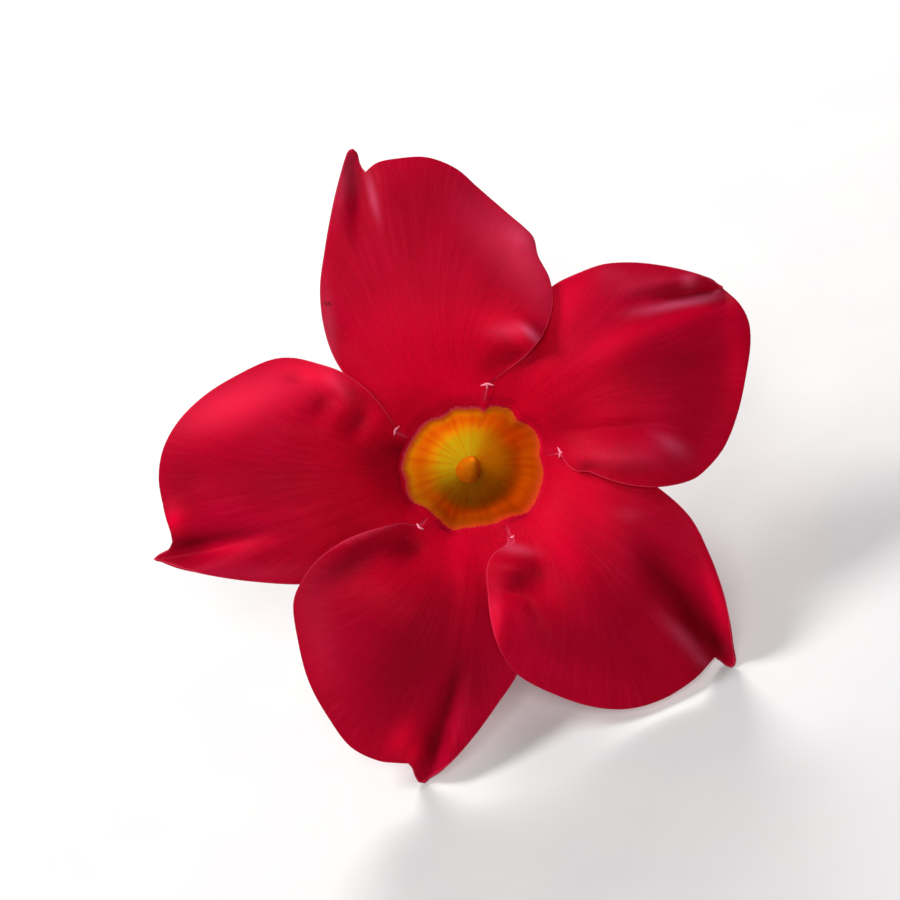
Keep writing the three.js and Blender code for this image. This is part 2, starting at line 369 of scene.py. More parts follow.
def petal_material():
    tree = Tree("velvet_petal")
    place = tree.vector("flower")
    fine = tree.veins((150, 4.0, 1), 3.0, 0.6)
    broad = tree.veins((34, 1.6, 1), 2.0)
    cloud = tree.noise(place, 0.16, 3.0)
    grain = tree.noise(place, 3.4, 3.0, 0.65)

    outer = tree.over(rgb(158, 0, 34), rgb(170, 0, 42), cloud, 0.35, 0.7)
    colour = tree.over(PETAL_BASE, outer, tree.value("radius"), 10, 26)
    colour = tree.over(colour, rgb(128, 0, 22), fine, 0.42, 0.72, 0.2)
    colour = tree.over(colour, rgb(188, 4, 44), broad, 0.5, 0.75, 0.2)
    colour = tree.over(colour, rgb(136, 0, 26), grain, 0.35, 0.65, 0.36)
    colour = tree.over(colour, rgb(214, 60, 92), fine, 0.5, 0.25, 0.06)
    # Painted light: brighter red where a petal faces the light or lets it through.
    colour = tree.mix(tree.value("blush_and_painted_light"), colour, rgb(232, 0, 50))
    # Painted shade: darker in the creases, the hollows, under overlapping margins and where a petal turns
    # from the light.
    colour = tree.mix(tree.times(tree.value("painted_shade"), 0.8), colour, rgb(84, 0, 14))
    # Painted sheen: pale lavender highlights where light glances off folds, crests and curls, and a few real
    # pale marks.
    painted_sheen_and_pale_marks = tree.times(tree.value("painted_sheen_and_pale_marks"), tree.ramp(grain, 0.2, 0.8, 0.8, 1.1))
    colour = tree.mix(painted_sheen_and_pale_marks, colour, rgb(206, 84, 122))
    # Painted highlight: a pale pink line where light catches each petal's margin.
    painted_edge_highlight = tree.ramp(tree.value("edge"), 0.04, 0.22, 0.3, 0.0)
    colour = tree.mix(painted_edge_highlight, colour, rgb(232, 84, 120))
    colour = tree.mix(tree.times(tree.value("back"), 0.75), colour, rgb(206, 62, 92))
    colour = tree.over(colour, rgb(66, 14, 16), tree.value("tear"), 0.2, 0.7, 0.85)

    height = tree.math("ADD", tree.times(fine, 0.6), tree.times(grain, 0.25))
    normal = tree.bump(height, 0.25, DEEP_BUMP)
    glow = tree.mix(0.5, colour, rgb(235, 0, 40))
    return tree.finish(plant_shader(tree, colour, glow, normal, 0.55, PETAL_THROUGH, 0.03, PETAL_SHEEN))


def throat_inside(tree, ray, grain, past):
    """The funnel's colours: yellow in the light, orange to the right and olive below as painted shade, and
    red past the lip.
    """
    depth, low, right = tree.value("depth"), tree.value("low"), tree.value("right")
    colour = tree.over(rgb(255, 222, 16), rgb(255, 250, 36), depth, 0.3, 9.0)
    colour = tree.over(colour, rgb(206, 206, 40), depth, 7.0, 19.0)
    # Painted shade: orange towards the right and olive below, where the wall is turned from the light; near
    # the lip it reddens.
    orange = tree.over(rgb(182, 42, 0), rgb(216, 88, 0), depth, 0.5, 5.0)
    orange = tree.over(orange, rgb(220, 140, 8), depth, 5.0, 14.0)
    colour = tree.mix(tree.times(right, 0.9), colour, orange)
    olive = tree.over(rgb(186, 60, 0), rgb(212, 88, 0), depth, 1.0, 4.0)
    olive = tree.over(olive, rgb(150, 92, 6), depth, 4.0, 11.0)
    colour = tree.mix(tree.times(low, 0.9), colour, olive)
    # Streaks that are partly veins and partly painted shade: darker in the rib grooves and on the
    # painted-shade side below.
    streak = tree.mix(low, rgb(226, 112, 0), rgb(160, 70, 0))
    veins_and_groove_shade = tree.math("ADD", tree.times(ray, 0.6), tree.times(tree.value("rib"), -0.4))
    colour = tree.over(colour, streak, veins_and_groove_shade, 0.04, 0.34, 0.32)

    shaded = tree.math("MAXIMUM", low, right)
    # The lip's own red-orange, lifted as painted light where the petals keep light off the rim, and fainter
    # on the painted-shade side.
    rosy = tree.times(tree.ramp(past, -0.9, -0.1), tree.ramp(shaded, 0.1, 0.7, 0.88, 0.5))
    colour = tree.mix(rosy, colour, rgb(255, 78, 42))
    red = tree.over(PETAL_BASE, rgb(150, 0, 28), grain, 0.35, 0.65, 0.3)
    colour = tree.over(colour, red, past, -0.06, 0.08)
    # Painted highlight: a pale pink line along the lip, strong on the lit side and faint on the painted-shade
    # side.
    line = tree.times(tree.ramp(past, -0.1, 0.05), tree.ramp(past, 0.05, 0.3, 1.0, 0.0))
    line = tree.times(line, tree.ramp(shaded, 0.1, 0.7, 0.5, 0.04))
    colour = tree.mix(line, colour, rgb(244, 90, 120))
    # Painted shade: purplish dark patches just outside the lip.
    return tree.mix(tree.value("painted_shade"), colour, rgb(110, 0, 30))


def tube_outside(tree, ray, grain):
    """The outside of the tube: rosy under the petals, buff along its length and green at the calyx."""
    depth = tree.value("depth")
    colour = tree.over(rgb(222, 66, 92), rgb(226, 196, 128), depth, 2.0, 18.0)
    colour = tree.over(colour, rgb(190, 196, 118), depth, 26.0, 40.0)
    colour = tree.over(colour, rgb(214, 110, 96), ray, 0.4, 0.75, 0.35)
    return tree.over(colour, rgb(150, 60, 50), grain, 0.3, 0.7, 0.12)


def throat_material():
    tree = Tree("throat")
    outside = tree.value("outside")
    ray = tree.veins((60, 1.5, 1), 2.0, 0.55)
    grain = tree.noise(tree.vector("flower"), 3.5, 3.0)
    fray = tree.times(tree.math("SUBTRACT", grain, 0.5), 0.5)
    past = tree.math("ADD", tree.value("past_lip"), fray)
    colour = tree.mix(outside, throat_inside(tree, ray, grain, past), tube_outside(tree, ray, grain))

    normal = tree.bump(ray, 0.25, DEEP_BUMP)
    inside_through = tree.ramp(past, -0.1, 0.1, THROAT_THROUGH, PETAL_THROUGH)
    through = tree.math("MAXIMUM", inside_through, tree.times(outside, THROAT_THROUGH))
    return tree.finish(plant_shader(tree, colour, colour, normal, 0.55, through, 0.04))


def anther_material():
    tree = Tree("anther")
    place = tree.vector("flower")
    across = tree.add("ShaderNodeSeparateXYZ", Vector=place).outputs["X"]
    tip = tree.value("tip")
    grain = tree.noise(place, 6.0, 3.0, 0.65)
    cloud = tree.noise(place, 1.2, 2.0)
    colour = tree.over(rgb(255, 132, 2), rgb(255, 158, 20), tip, 0.0, 0.9)
    colour = tree.over(colour, rgb(246, 96, 8), cloud, 0.4, 0.7, 0.3)
    colour = tree.over(colour, rgb(255, 176, 30), grain, 0.35, 0.7, 0.3)
    # Painted shade: the anthers darken towards the right, the side turned from the light.
    colour = tree.over(colour, rgb(176, 130, 20), across, -0.1, 0.9, 0.45)
    filament = tree.ramp(tip, -0.9, -0.5, 1.0, 0.0)
    colour = tree.mix(filament, colour, rgb(190, 130, 8))
    normal = tree.bump(grain, 0.4, SHALLOW_BUMP)
    return tree.finish(plant_shader(tree, colour, colour, normal, 0.6, 0.08, 0.08))


def pistil_material():
    tree = Tree("pistil")
    place = tree.add("ShaderNodeTexCoord").outputs["Object"]
    grain = tree.noise(place, 1800.0, 3.0)
    colour = tree.over(rgb(214, 214, 150), rgb(188, 198, 118), grain, 0.3, 0.7)
    normal = tree.bump(grain, 0.3, SHALLOW_BUMP)
    return tree.finish(plant_shader(tree, colour, colour, normal, 0.5, 0.15))


def green_material(name, light, dark, blush):
    """Calyx and stalk: streaked green with a red blush where the light falls."""
    tree = Tree(name)
    place = tree.vector("flower")
    streak = tree.noise(tree.stretched(place, (1.6, 1.6, 0.25)), 1.4, 3.0, 0.6)
    grain = tree.noise(place, 7.0, 3.0, 0.6)
    colour = tree.over(light, dark, streak, 0.3, 0.72)
    colour = tree.over(colour, rgb(150, 168, 84), grain, 0.45, 0.75, 0.35)
    colour = tree.mix(tree.times(tree.value("blush_and_painted_light"), 0.7), colour, blush)
    pale_rim = tree.ramp(tree.value("rim"), 0.0, 0.22, 0.55, 0.0)
    colour = tree.mix(pale_rim, colour, rgb(196, 200, 130))
    height = tree.math("ADD", tree.times(streak, 0.7), tree.times(grain, 0.3))
    normal = tree.bump(height, 0.45, DEEP_BUMP)
    return tree.finish(plant_shader(tree, colour, colour, normal, 0.48, 0.12))


def fold_material():
    tree = Tree("sinus_mark")
    grain = tree.noise(tree.vector("flower"), 5.0, 2.0)
    colour = tree.over(rgb(244, 150, 172), rgb(236, 110, 140), grain, 0.3, 0.7)
    normal = tree.bump(grain, 0.3, SHALLOW_BUMP)
    return tree.finish(plant_shader(tree, colour, colour, normal, 0.5, 0.2))


# --- petals ---
# Each outline runs clockwise: from one sinus up the covered margin to the pointed tip, from the tip to the
# notch beside it, and from the notch round the free margin to the next sinus. A crease runs in from the tip
# or the notch: a valley that is narrow on one side and wide on the other, with a shoulder beside it. Arch
# is the petal's low vault across its width, highest at centre (-1 to 1).
# Bumps are (x, y, height, length, width, direction in degrees). The painted sheen, with a few real pale
# marks, is pale; the painted shade is dark and the painted light is bright red, in patches of the same kind.
PETALS = {
    "petal_1": {
        "valley": 0.8, "shoulder": 0.8, "narrow": 1, "wide": 2, "arch": 1.5, "centre": 0.3,
        "to_tip": [(-9.2, 4.2), (-12.6, 7.8), (-16.2, 12.4), (-17.6, 16), (-18.2, 21), (-17.6, 26),
            (-16.7, 31), (-15.8, 35), (-15.2, 37.2), (-14.9, 37.9), (-14.4, 38.1)],
        "to_notch": [(-14.4, 38.1), (-13.9, 37.7), (-13.5, 36.3), (-12.9, 35.2)],
        "to_sinus": [(-12.9, 35.2), (-11.5, 36.3), (-9, 36.8), (-5.5, 36.9), (-2, 35.5), (0.5, 33.3),
            (3.6, 30.6), (6.2, 28.3), (7.1, 27.2), (7.7, 25), (9, 22.4), (9.4, 19.8), (8.8, 17),
            (7.6, 14.8), (5.8, 12.8), (3.4, 11.1), (1.7, 9.7)],
        "crease": [(-13.2, 24), (-13.6, 28), (-13.7, 32), (-14, 37)],
        "bumps": [(6.6, 15.9, 1.2, 1.9, 1.1, -35), (3.6, 15.4, 0.5, 2.6, 1.6, 0), (4, 26, -0.8, 6, 3, 120),
            (-15.5, 15, -0.5, 3, 2, 90), (4.6, 12.9, -0.7, 2, 1.3, 20), (6.4, 26.6, 0.6, 1.6, 1.2, -40)],
        "painted_sheen_and_pale_marks": [(-11.9, 32.2, 0.45, 2.6, 0.45, -77), (3.8, 26.2, 0.2, 6.5, 2.8, -52),
            (5.6, 27.4, 0.2, 2.2, 1.2, -42), (6.9, 15.6, 0.6, 1.4, 0.42, -40),
            (4.3, 16.1, 0.22, 2.2, 0.9, 0), (-17.2, 16, 0.2, 5, 0.8, 95), (-15.2, 35, 0.2, 4, 0.7, 78),
            (7.5, 22, 0.04, 5, 1.6, -75), (-14.4, 34, 0.12, 2, 0.8, 84)],
        "painted_shade": [(-13.6, 34.4, 0.35, 1.8, 0.35, 94), (4.8, 13.2, 0.4, 2.8, 1.2, 24),
            (-5, 32, 0.2, 8, 4, 15), (1.9, 12.2, 0.3, 1.6, 1.4, 60), (2.4, 23, 0.12, 4, 1.2, 60)],
        "blush_and_painted_light": [(-8, 14, 0.12, 6, 4, 20), (-3, 10.4, 0.5, 5, 2, 0), (-10, 19, 0.12, 4, 3, 60),
            (3.2, 17.4, 0.25, 3, 1.4, -10), (-1.6, 17, 0.12, 5, 5, 0), (5.6, 15.2, 0.6, 1.8, 0.9, -30),
            (3.2, 25.8, 0.3, 4.5, 2.6, -52)],
    },
    "petal_2": {
        "valley": 2.4, "shoulder": 1.6, "narrow": 0.8, "wide": 2.4, "arch": 1.2, "centre": 0.2,
        "to_tip": [(1.7, 9.7), (4.4, 14), (7.4, 19.4), (9.6, 21.6), (12.4, 23), (15.5, 24.1), (19, 24.3),
            (23, 23.8), (27, 22.8), (28.9, 22.1)],
        "to_notch": [(28.9, 22.1), (29.8, 21.6), (30.5, 21)],
        "to_sinus": [(30.5, 21), (31.8, 19.5), (32.8, 17.4), (33, 15), (32.4, 11), (31.2, 6), (29.6, 2.2),
            (27.6, -0.2), (26, -1.4), (22.2, -2.3), (18.5, -2.1), (15.4, -1.2), (13.7, -0.5), (12.2, -0.4),
            (11, 0.6), (10.4, 1.8)],
        "crease": [(17, 19.6), (21, 20.4), (25, 20.8), (29.4, 21.4)],
        "bumps": [(17, 1, 1.9, 5.5, 1.9, 0), (17, 4.7, -0.5, 5, 0.9, 4), (22.4, 1.2, 1, 3.2, 2.2, -20),
            (13.6, -0.4, -0.5, 1, 0.8, 90), (19, 15.4, 1, 9, 2.6, 28), (11, 20.5, 0.4, 5, 2.6, 35),
            (7.4, 14.6, -0.4, 5, 1.4, 62)],
        "painted_sheen_and_pale_marks": [(27.2, 19.9, 0.9, 2.4, 0.5, 12), (20, 21.6, 0.08, 5, 1.2, 5),
            (23.4, 19.1, 0.6, 2.4, 0.5, 13), (20.2, 18.5, 0.2, 2.2, 0.7, 10),
            (25.6, 22.1, 0.5, 0.9, 0.7, 0), (29.3, 21, 0.5, 0.9, 0.3, 40), (16, 22.9, 0.1, 2, 1, 0),
            (23.4, 2.5, 0.32, 2, 0.9, -30), (17.5, 1.2, 0.1, 5, 1.6, 0)],
        "painted_shade": [(27.6, 20.8, 1, 2, 0.34, 8), (22.6, 20.4, 0.4, 3, 0.7, 4), (25.8, 13.2, 0.42, 6, 2.6, 20),
            (26.4, 7.4, 0.35, 5, 4, 80), (7.4, 14.6, 0.5, 5, 1.4, 62), (13.8, 0.3, 0.5, 1.6, 0.6, 10),
            (26.4, 4, 0.15, 3, 3, 90), (20.5, 11, 0.25, 5, 2.8, 25), (10.6, 5.6, 0.5, 4, 2.8, 50),
            (17, 7, 0.12, 6, 4, 20), (19, 4.9, 0.2, 5, 1, 5)],
        "blush_and_painted_light": [(11, 19.6, 0.5, 6, 2.6, 50), (24.6, 17.9, 0.4, 6, 1.1, 22),
            (16.4, 14.6, 0.35, 4, 1.6, 30), (15.5, 8, 0.15, 5, 4, 30), (31.2, 13, 0.28, 6, 1.4, 95)],
    },
    "petal_3": {
        "valley": 2.8, "shoulder": 1, "narrow": 1.9, "wide": 2.4, "arch": 1.6, "centre": 0.2,
        "to_tip": [(10.4, 1.8), (16.4, 0.8), (21.6, -2.2), (25.6, -5.8), (27.8, -10), (29.3, -14),
            (30.3, -17.5), (31, -21), (31.5, -23.2), (31.4, -23.8), (31, -24.1)],
        "to_notch": [(31, -24.1), (30.4, -23.9), (29.7, -23.3), (29.1, -22.9)],
        "to_sinus": [(29.1, -22.9), (28.4, -23.5), (26, -25.5), (22.5, -27.6), (18.5, -28.7), (14.5, -28.5),
            (10, -27.1), (5.3, -24.6), (3.3, -22), (2.2, -18.5), (1.7, -15), (1.6, -12.2), (2.3, -10.5),
            (3.8, -9.5), (5, -9), (4.6, -8.4)],
        "crease": [(18.4, -8.4), (22.4, -11.2), (26, -16.2), (29.4, -22.8)],
        "bumps": [(4.7, -11.8, 2.4, 2.5, 1.8, -12), (2.9, -19, 0.8, 4.2, 1.3, -95),
            (7, -15.6, -0.8, 4, 1.4, -60), (11.4, -14.5, 1, 9, 3.4, -58), (28.4, -13, 0.7, 8, 1.6, -72),
            (31, -23.9, -1.3, 2.4, 2.4, 0), (4.4, -15, -0.6, 2.2, 1, -10)],
        "painted_sheen_and_pale_marks": [(4.9, -9.8, 0.4, 2.2, 0.6, -8), (2.6, -17, 0.06, 4.5, 0.8, -94),
            (25.2, -20.6, 0.3, 3.4, 0.8, -46), (27.4, -23.4, 0.2, 1.6, 0.6, -40),
            (18.4, -5.6, 0.1, 1.6, 0.8, 0)],
        "painted_shade": [(26.6, -18.4, 0.95, 4.6, 1.8, -60), (21.6, -12.4, 0.6, 5, 2.2, -52),
            (29.2, -21.2, 0.8, 2.2, 1, -60), (7.6, -12.6, 0.35, 2.2, 1, -66),
            (4.8, -13.4, 0.22, 2.8, 1.6, 16), (4.6, -12, 0.36, 3, 1.4, 0), (18.6, -17.4, 0.42, 9, 5, -50),
            (12.5, -21, 0.22, 7, 4, -20), (8.6, -18, 0.25, 5, 2.4, -60), (13, 0.6, 0.4, 3, 0.9, -14),
            (25.5, -8.5, 0.35, 5, 2.4, -62), (19, -6.4, 0.25, 5, 3, -50)],
        "blush_and_painted_light": [(3, -18.2, 0.6, 4, 1.8, -95), (14.6, -4.6, 0.3, 5.5, 2.6, -50),
            (11, -10.2, 0.4, 5, 2, -55), (29, -15.6, 0.4, 6, 0.8, -73), (8.4, -14, 0.25, 3, 1.4, -55),
            (10, -5.6, 0.1, 3, 2, -45)],
    },
    "petal_4": {
        "valley": 1.6, "shoulder": 1.5, "narrow": 1.1, "wide": 1.8, "arch": 2, "centre": 0.3,
        "to_tip": [(4.6, -8.4), (6.4, -13.6), (6.8, -19.6), (5.2, -24.6), (3, -27.9), (0, -32), (-3, -35.4),
            (-5.2, -37.3), (-6, -37.9), (-6.6, -37.8)],
        "to_notch": [(-6.6, -37.8), (-7, -37), (-7.3, -36), (-7.8, -35.3)],
        "to_sinus": [(-7.8, -35.3), (-9.2, -35.2), (-11.2, -35), (-14.5, -33.4), (-17.2, -29.8),
            (-19.5, -25.5), (-20.8, -20.5), (-21.3, -16), (-20.5, -13.8), (-18.5, -11), (-15.3, -8.7),
            (-11.5, -7.3), (-8.4, -6.7), (-6.4, -7.2)],
        "crease": [(-1.4, -22), (-2.4, -26), (-3.8, -31), (-5.9, -37.2)],
        "bumps": [(-7.6, -10, -1.1, 2.2, 1.8, 20), (-13, -11.6, -0.6, 4, 1.8, 30),
            (-12, -7.8, 0.7, 4.5, 1, 20), (-8.6, -33, 0.6, 2.4, 1.6, 60), (-8, -16.5, 1.2, 9, 5, -15),
            (-1.4, -11, 0.4, 5, 1.4, -80)],
        "painted_sheen_and_pale_marks": [(5.6, -20, 0.1, 5, 1, 95), (-12, -7.6, 0.14, 5, 0.4, 18),
            (-18.5, -19, 0.05, 8, 2.2, 100)],
        "painted_shade": [(-6.4, -20.5, 0.5, 8, 4.6, 80), (-4.9, -33.4, 0.9, 3, 1.1, 74),
            (-2.9, -28, 0.7, 4.2, 0.9, 75), (-13.6, -11, 0.55, 6, 2, 28), (-7.4, -9.8, 0.6, 1.9, 1.5, 15),
            (-10, -27.5, 0.3, 6, 4, 30), (-1, -24, 0.4, 5, 2.4, 70), (4.9, -11.4, 0.4, 2.6, 1.2, 80),
            (-3, -15, 0.25, 4, 3, 90), (-14, -21, 0.25, 8, 5, 100), (2.6, -24, 0.3, 6, 2, 60),
            (2, -16.4, 0.4, 3.5, 1.8, 85), (-8, -21, 0.15, 6, 5, 0), (-15.5, -11.4, 0.2, 3, 1.6, 30)],
        "blush_and_painted_light": [(-8.2, -32.2, 0.4, 2.8, 1.5, 62), (-7.2, -34.2, 0.5, 1.6, 1, 70),
            (-1.4, -10.6, 0.3, 4, 1.3, -84), (-3.6, -11.6, 0.15, 3, 2, -80)],
    },
    "petal_5": {
        "valley": 2.2, "shoulder": 1, "narrow": 1.2, "wide": 2.4, "arch": 2.6, "centre": 0,
        "to_tip": [(-6.4, -7.2), (-11, -11), (-16, -13.4), (-20.5, -13.9), (-26, -13.6), (-31, -12.9),
            (-35, -12.1), (-37.6, -11.4), (-38.5, -11.1)],
        "to_notch": [(-38.5, -11.1), (-37.8, -10.5), (-36.6, -9.9), (-36, -8.9)],
        "to_sinus": [(-36, -8.9), (-36.1, -7.6), (-36.9, -4.8), (-37.5, -1.4), (-37, 2), (-35.2, 5.3),
            (-32, 8.5), (-28, 11), (-24, 12.8), (-21.5, 13), (-18.5, 12.3), (-15.5, 11.2), (-12.6, 9.2),
            (-10.6, 6.9), (-9.6, 5.2), (-9.2, 4.2)],
        "crease": [(-22, -6.4), (-26.7, -8.3), (-32, -10), (-37.6, -11)],
        "bumps": [(-13.9, 5.2, -1.1, 2, 1.5, 60), (-17.7, 7.3, -0.8, 2, 1.3, 40),
            (-21, 10.6, -0.5, 1.5, 0.9, 0), (-15.7, 9.3, 0.7, 2.2, 1.1, -50),
            (-35.6, -6.4, 0.8, 2, 1.5, 80), (-24, 4.5, 1.1, 11, 3.2, 0)],
        "painted_sheen_and_pale_marks": [(-27, 8.4, 0.14, 9, 2.4, 22), (-16, 9.8, 0.14, 2.4, 1, -40), (-25, -12.5, 0.06, 9, 1, 2)],
        "painted_shade": [(-33.7, -8.9, 0.85, 2.8, 0.7, 8), (-29, -8, 0.4, 3.6, 0.7, 6),
            (-10.2, -1, 0.5, 3, 4.4, 10), (-14.6, -6.5, 0.35, 4, 3, -40), (-13.7, 5.6, 0.6, 1.5, 1, 60),
            (-17.8, 7.2, 0.4, 1.7, 1, 40), (-21, 10.5, 0.3, 1.2, 0.7, 0), (-22, -2, 0.25, 8, 3, 5),
            (-9.4, 2.4, 0.5, 1.3, 1.2, 60), (-12, 1.6, 0.3, 3, 2, 20), (-34.6, -1.5, 0.35, 4, 2.6, 90),
            (-34.8, -10.6, 0.6, 3, 1, 12), (-28, -7.6, 0.25, 5, 1.2, 8), (-23, -10, 0.12, 6, 2.5, 5),
            (-21, 0.4, 0.12, 7, 4, 5)],
        "blush_and_painted_light": [(-27, 8.2, 0.7, 9, 2.8, 24), (-18.5, 10.8, 0.45, 4.5, 1.4, -12),
            (-35.3, -6.3, 0.7, 1.6, 1.3, 80), (-28.4, -9.6, 0.35, 5, 0.8, 10),
            (-11.4, 6.4, 0.3, 1.6, 1, -50)],
    },
}
TRUMPET = {"base": 8.5, "rise": 5.2, "bend": 4.2, "recurve_from": 17, "recurve": 0.0085}
PITCH = {"base": 0.03, "free": 1.05, "from": 9.8, "to": 18}  # the petals stand like propeller blades
SECTOR = math.radians(36)  # half of a petal's share of the circle
PETAL_START = 8.0  # radius at which the petals come out of the throat's rim
PETAL_HALF_WALL = 0.15
SEAM_OVERLAP = math.radians(2.5)  # how far a petal's foot stays within its share of the rim
TEAR = (-17.2, 19.4, 1.0, 0.75, 0.2, -6)  # a small brown tear in the top petal's margin
LIP_SIZE = 8.4  # radius of the lip before it is drawn in
# The lip's lobes, clockwise from the left.
LIP = [(-8.5, -0.2), (-8.1, 1.6), (-7.35, 3.0), (-6.5, 4.3), (-5.3, 5.5), (-3.6, 6.0), (-2.4, 6.9),
       (-1.0, 7.0), (0.7, 7.0), (1.35, 6.7), (2.0, 7.15), (3.0, 7.2), (4.5, 6.8), (5.3, 5.6), (6.6, 5.0),
       (7.6, 3.9), (8.0, 2.6), (7.9, 1.7), (8.25, 0.3), (8.4, -0.7), (8.2, -2.0), (7.6, -3.75), (7.0, -4.8),
       (6.3, -5.5), (5.1, -5.8), (3.8, -6.15), (2.5, -6.8), (0.8, -7.05), (-1.0, -7.3), (-2.4, -7.5),
       (-3.35, -6.95), (-4.1, -6.2), (-4.9, -5.5), (-5.7, -4.8), (-7.2, -4.1), (-7.9, -2.7), (-8.0, -1.5)]


def lip_radius(angle):
    """The throat's lip, which is wider than high and ends in soft lobes."""
    rim = spline(LIP + LIP[:1])
    at = np.unwrap(np.arctan2(rim[:, 1], rim[:, 0]))
    radius = np.hypot(rim[:, 0], rim[:, 1])
    order = np.argsort(at)
    first = at[order][0]
    return np.interp(np.mod(angle - first, 2 * np.pi) + first, at[order], radius[order])


def shape_mouth(points):
    """Draws the round mouth in to its lip, and leaves the petals and the tube as they are."""
    x, y = points[..., 0], points[..., 1]
    radius = np.hypot(x, y)
    share = smoothstep(3.0, 8.2, radius) * (1 - smoothstep(8.4, 10.4, radius))
    points[..., :2] *= (1 - share * (1 - lip_radius(np.arctan2(y, x)) / LIP_SIZE))[..., None]
    return points


# The runs of an outline, as (name, points, share of the petal's width at its start and at its end).
OUTLINE_RUNS = (("to_tip", 90, 0.0, 0.5), ("to_notch", 14, 0.5, 0.53), ("to_sinus", 136, 0.53, 1.0))
LINE_POINTS = 60  # along each line from the rim to the outline
LEAVE, ARRIVE = 0.42, 0.3  # the handles of those lines, as shares of their reach
PETAL_ROWS = np.concatenate([np.linspace(0, 0.9, 56, endpoint=False),
                             1 - 0.1 * (1 - np.linspace(0, 1, 22)) ** 1.7])  # closest at the margin


def petal_outline(petal):
    """Points from sinus to sinus by way of the tip, and each one's share of the petal's width."""
    ends, shares = [], []
    for key, count, low, high in OUTLINE_RUNS:
        part = np.linspace(0, 1, count, endpoint=key == "to_sinus")
        ends.append(along(spline(petal[key]), part))
        shares.append(low + (high - low) * part)
    return np.vstack(ends), np.concatenate(shares)


def petal_lines(petal):
    """The petal in plan, as lines that fan out from the throat's rim to the outline.

    Returns a (rows, columns, 2) grid, each column's share of the petal's width, and the middle angle.
    """
    first = math.atan2(*petal["to_tip"][0][::-1])
    last = math.atan2(*petal["to_sinus"][-1][::-1])
    if last > first:
        last -= 2 * math.pi
    ends, share = petal_outline(petal)
    angle = first + SEAM_OVERLAP + (last - first - 2 * SEAM_OVERLAP) * share
    ray = np.stack([np.cos(angle), np.sin(angle)], axis=1)
    starts = ray * PETAL_START
    margin = np.gradient(ends, axis=0)
    inward = unit(np.stack([margin[:, 1], -margin[:, 0]], axis=1))
    reach = np.linalg.norm(ends - starts, axis=1, keepdims=True)
    near = starts + ray * reach * LEAVE
    arrive = unit(inward * 0.45 - unit(ends - near) * 0.55)
    far = ends + arrive * reach * ARRIVE
    t = np.linspace(0, 1, LINE_POINTS)[:, None, None]
    lines = starts * (1 - t) ** 3 + near * 3 * t * (1 - t) ** 2 + far * 3 * t ** 2 * (1 - t) + ends * t ** 3
    return untangle(lines), share, (first + last) / 2


def untangle(grid, rounds=220):
    """Relaxes the inner points of a plane grid towards an even, fold-free one (Winslow's equations)."""
    for _ in range(rounds):
        down = (grid[2:, 1:-1] - grid[:-2, 1:-1]) / 2
        across = (grid[1:-1, 2:] - grid[1:-1, :-2]) / 2
        alpha = (down ** 2).sum(axis=2, keepdims=True)
        gamma = (across ** 2).sum(axis=2, keepdims=True)
        beta = (down * across).sum(axis=2, keepdims=True)
        twist = (grid[2:, 2:] - grid[2:, :-2] - grid[:-2, 2:] + grid[:-2, :-2]) / 4
        beside = grid[1:-1, 2:] + grid[1:-1, :-2]
        above = grid[2:, 1:-1] + grid[:-2, 1:-1]
        wanted = alpha * beside + gamma * above - 2 * beta * twist
        wanted = wanted / np.maximum(2 * (alpha + gamma), TINY)
        grid[1:-1, 1:-1] += 0.8 * (wanted - grid[1:-1, 1:-1])
    return grid


def resampled(grid, rows):
    """The grid at new rows, given as shares of its height."""
    source = np.linspace(0, 1, len(grid))
    columns = [np.interp(rows, source, column) for column in grid.reshape(len(grid), -1).T]
    return np.stack(columns, axis=1).reshape(len(rows), *grid.shape[1:])


def trumpet_height(radius):
    past = np.maximum(0, radius - TRUMPET["recurve_from"])
    rise = TRUMPET["rise"] * (1 - np.exp(-(radius - TRUMPET["base"]) / TRUMPET["bend"]))
    return rise - TRUMPET["recurve"] * past ** 2


def crease_height(petal, plan):
    """The valley and the shoulder that run in from the tip, deepest at the tip."""
    distance, progress, side = nearest(plan, spline(petal["crease"]))
    clockwise = np.where(side > 0, distance, -distance)
    valley = np.where(clockwise > 0, bell(clockwise, petal["narrow"]), bell(clockwise, petal["wide"]))
    crest = clockwise - 2.0 * petal["narrow"]
    ridge = np.where(crest < 0, bell(crest, 1.3 * petal["narrow"]), bell(crest, 4.5))
    return smoothstep(0.0, 0.9, progress) * (petal["shoulder"] * ridge - petal["valley"] * valley)


def petal_height(petal, plan, middle_angle):
    """How far each point of the plan stands out in front of the mouth."""
    radius = np.hypot(plan[..., 0], plan[..., 1])
    away = middle_angle - np.arctan2(plan[..., 1], plan[..., 0])
    away -= 2 * np.pi * np.round(away / (2 * np.pi))
    share = away / SECTOR
    pitch = PITCH["base"] + (PITCH["free"] - PITCH["base"]) * smoothstep(PITCH["from"], PITCH["to"], radius)
    arch = petal["arch"] * smoothstep(9, 28, radius) * (share - petal["centre"]) ** 2
    height = trumpet_height(radius) + pitch * share - arch + crease_height(petal, plan)
    return height + patches(plan, petal["bumps"]) * smoothstep(9.0, 12.0, radius)


